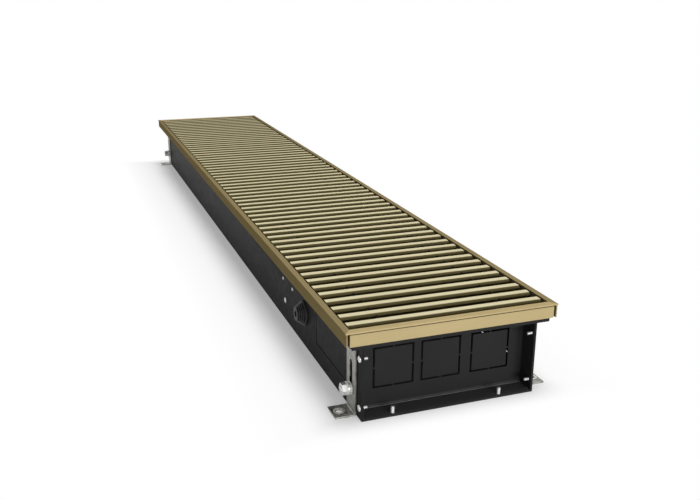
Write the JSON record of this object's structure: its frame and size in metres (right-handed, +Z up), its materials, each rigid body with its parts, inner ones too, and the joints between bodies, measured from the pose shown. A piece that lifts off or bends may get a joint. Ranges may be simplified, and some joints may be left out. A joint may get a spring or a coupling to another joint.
{
  "type": "trench convector heater",
  "caption": "Floor-duct convector: folded sheet trough with end panel knockouts, bar grille in an aluminium frame, finned water coil and cross-flow fan inside, on slotted foot brackets.",
  "frame": {"origin": "middle of the footprint on the floor plane, under the casing's bottom", "axes": "+X across the trough to the exchanger's side, +Y along the trough away from the near end panel with the water connections, +Z up to the grille"},
  "size_m": [0.268, 1.48, 0.112],
  "materials": {
    "casing_paint": "satin anthracite powder coat",
    "frame_gold": "satin gold anodised",
    "bar_gold": "satin light gold anodised",
    "galvanised": "galvanised",
    "bright_zinc": "bright zinc",
    "copper": "bare copper",
    "brass": "bare brass",
    "graphite_fin": "graphite dip coat",
    "graphite_coat": "matt graphite coat",
    "black_rubber": "matt",
    "black_plastic": "matt",
    "drum_plastic": "satin",
    "motor_paint": "matt graphite"
  },
  "bodies": {
    "casing": {"casing_trough": "casing_paint", "near_end_panel": "casing_paint", "far_end_panel": "casing_paint", "cross_braces": "casing_paint", "frame_left": "frame_gold", "frame_right": "frame_gold", "frame_near": "frame_gold", "frame_far": "frame_gold", "frame_corner_angles": "galvanised", "grille_rest_strips": "black_rubber", "end_panel_screws": "bright_zinc", "floor_screws": "bright_zinc", "bracket_studs": "bright_zinc", "bracket_washers": "bright_zinc", "bracket_spring_washers": "bright_zinc", "bracket_nuts": "bright_zinc", "exchanger_fins": "graphite_fin", "exchanger_tubes": "copper", "exchanger_end_plates": "graphite_coat", "exchanger_supports": "graphite_coat", "far_return_bends": "copper", "near_return_bend": "copper", "supply_fitting": "brass", "return_fitting": "brass", "air_vent_body": "brass", "fan_motor": "motor_paint", "motor_cradle": "graphite_coat", "fan_housing_near": "graphite_coat", "fan_housing_far": "graphite_coat", "fan_bearing_plates": "graphite_coat", "fan_bearing_bushes": "black_rubber", "terminal_box": "black_plastic", "terminal_box_lid": "black_plastic", "terminal_lid_screws": "bright_zinc", "terminal_block": "black_plastic", "cable_grommet": "black_rubber", "motor_lead": "black_rubber", "wall_rivets": "bright_zinc", "wall_screw": "bright_zinc"},
    "grille": {"grille_bars": "bar_gold", "grille_rods": "graphite_coat", "grille_spacers": "black_plastic"},
    "foot_near_left": {"bracket_near_left": "galvanised"},
    "foot_near_right": {"bracket_near_right": "galvanised"},
    "foot_far_left": {"bracket_far_left": "galvanised"},
    "foot_far_right": {"bracket_far_right": "galvanised"},
    "fan_rotor": {"fan_drum_near": "drum_plastic", "fan_drum_far": "drum_plastic", "motor_shaft": "bright_zinc"},
    "vent_screw": {"bleed_screw": "bright_zinc"}
  },
  "joints": [
    {"name": "grille_lift", "type": "slide", "parent": "casing", "child": "grille", "axis": [0, 0, 1], "range_m": [0, 0.12]},
    {"name": "foot_near_left_slide", "type": "slide", "parent": "casing", "child": "foot_near_left", "axis": [0, 0, -1], "range_m": [0, 0.03]},
    {"name": "foot_near_right_slide", "type": "slide", "parent": "casing", "child": "foot_near_right", "axis": [0, 0, -1], "range_m": [0, 0.03]},
    {"name": "foot_far_left_slide", "type": "slide", "parent": "casing", "child": "foot_far_left", "axis": [0, 0, -1], "range_m": [0, 0.03]},
    {"name": "foot_far_right_slide", "type": "slide", "parent": "casing", "child": "foot_far_right", "axis": [0, 0, -1], "range_m": [0, 0.03]},
    {"name": "fan_spin", "type": "hinge", "parent": "casing", "child": "fan_rotor", "pos_m": [-0.076, 0, 0.045], "axis": [0, 1, 0], "continuous": true},
    {"name": "bleed_turn", "type": "hinge", "parent": "casing", "child": "vent_screw", "pos_m": [0.035, -0.539, 0.072], "axis": [0, 0, 1], "range_deg": [0, 360]}
  ]
}
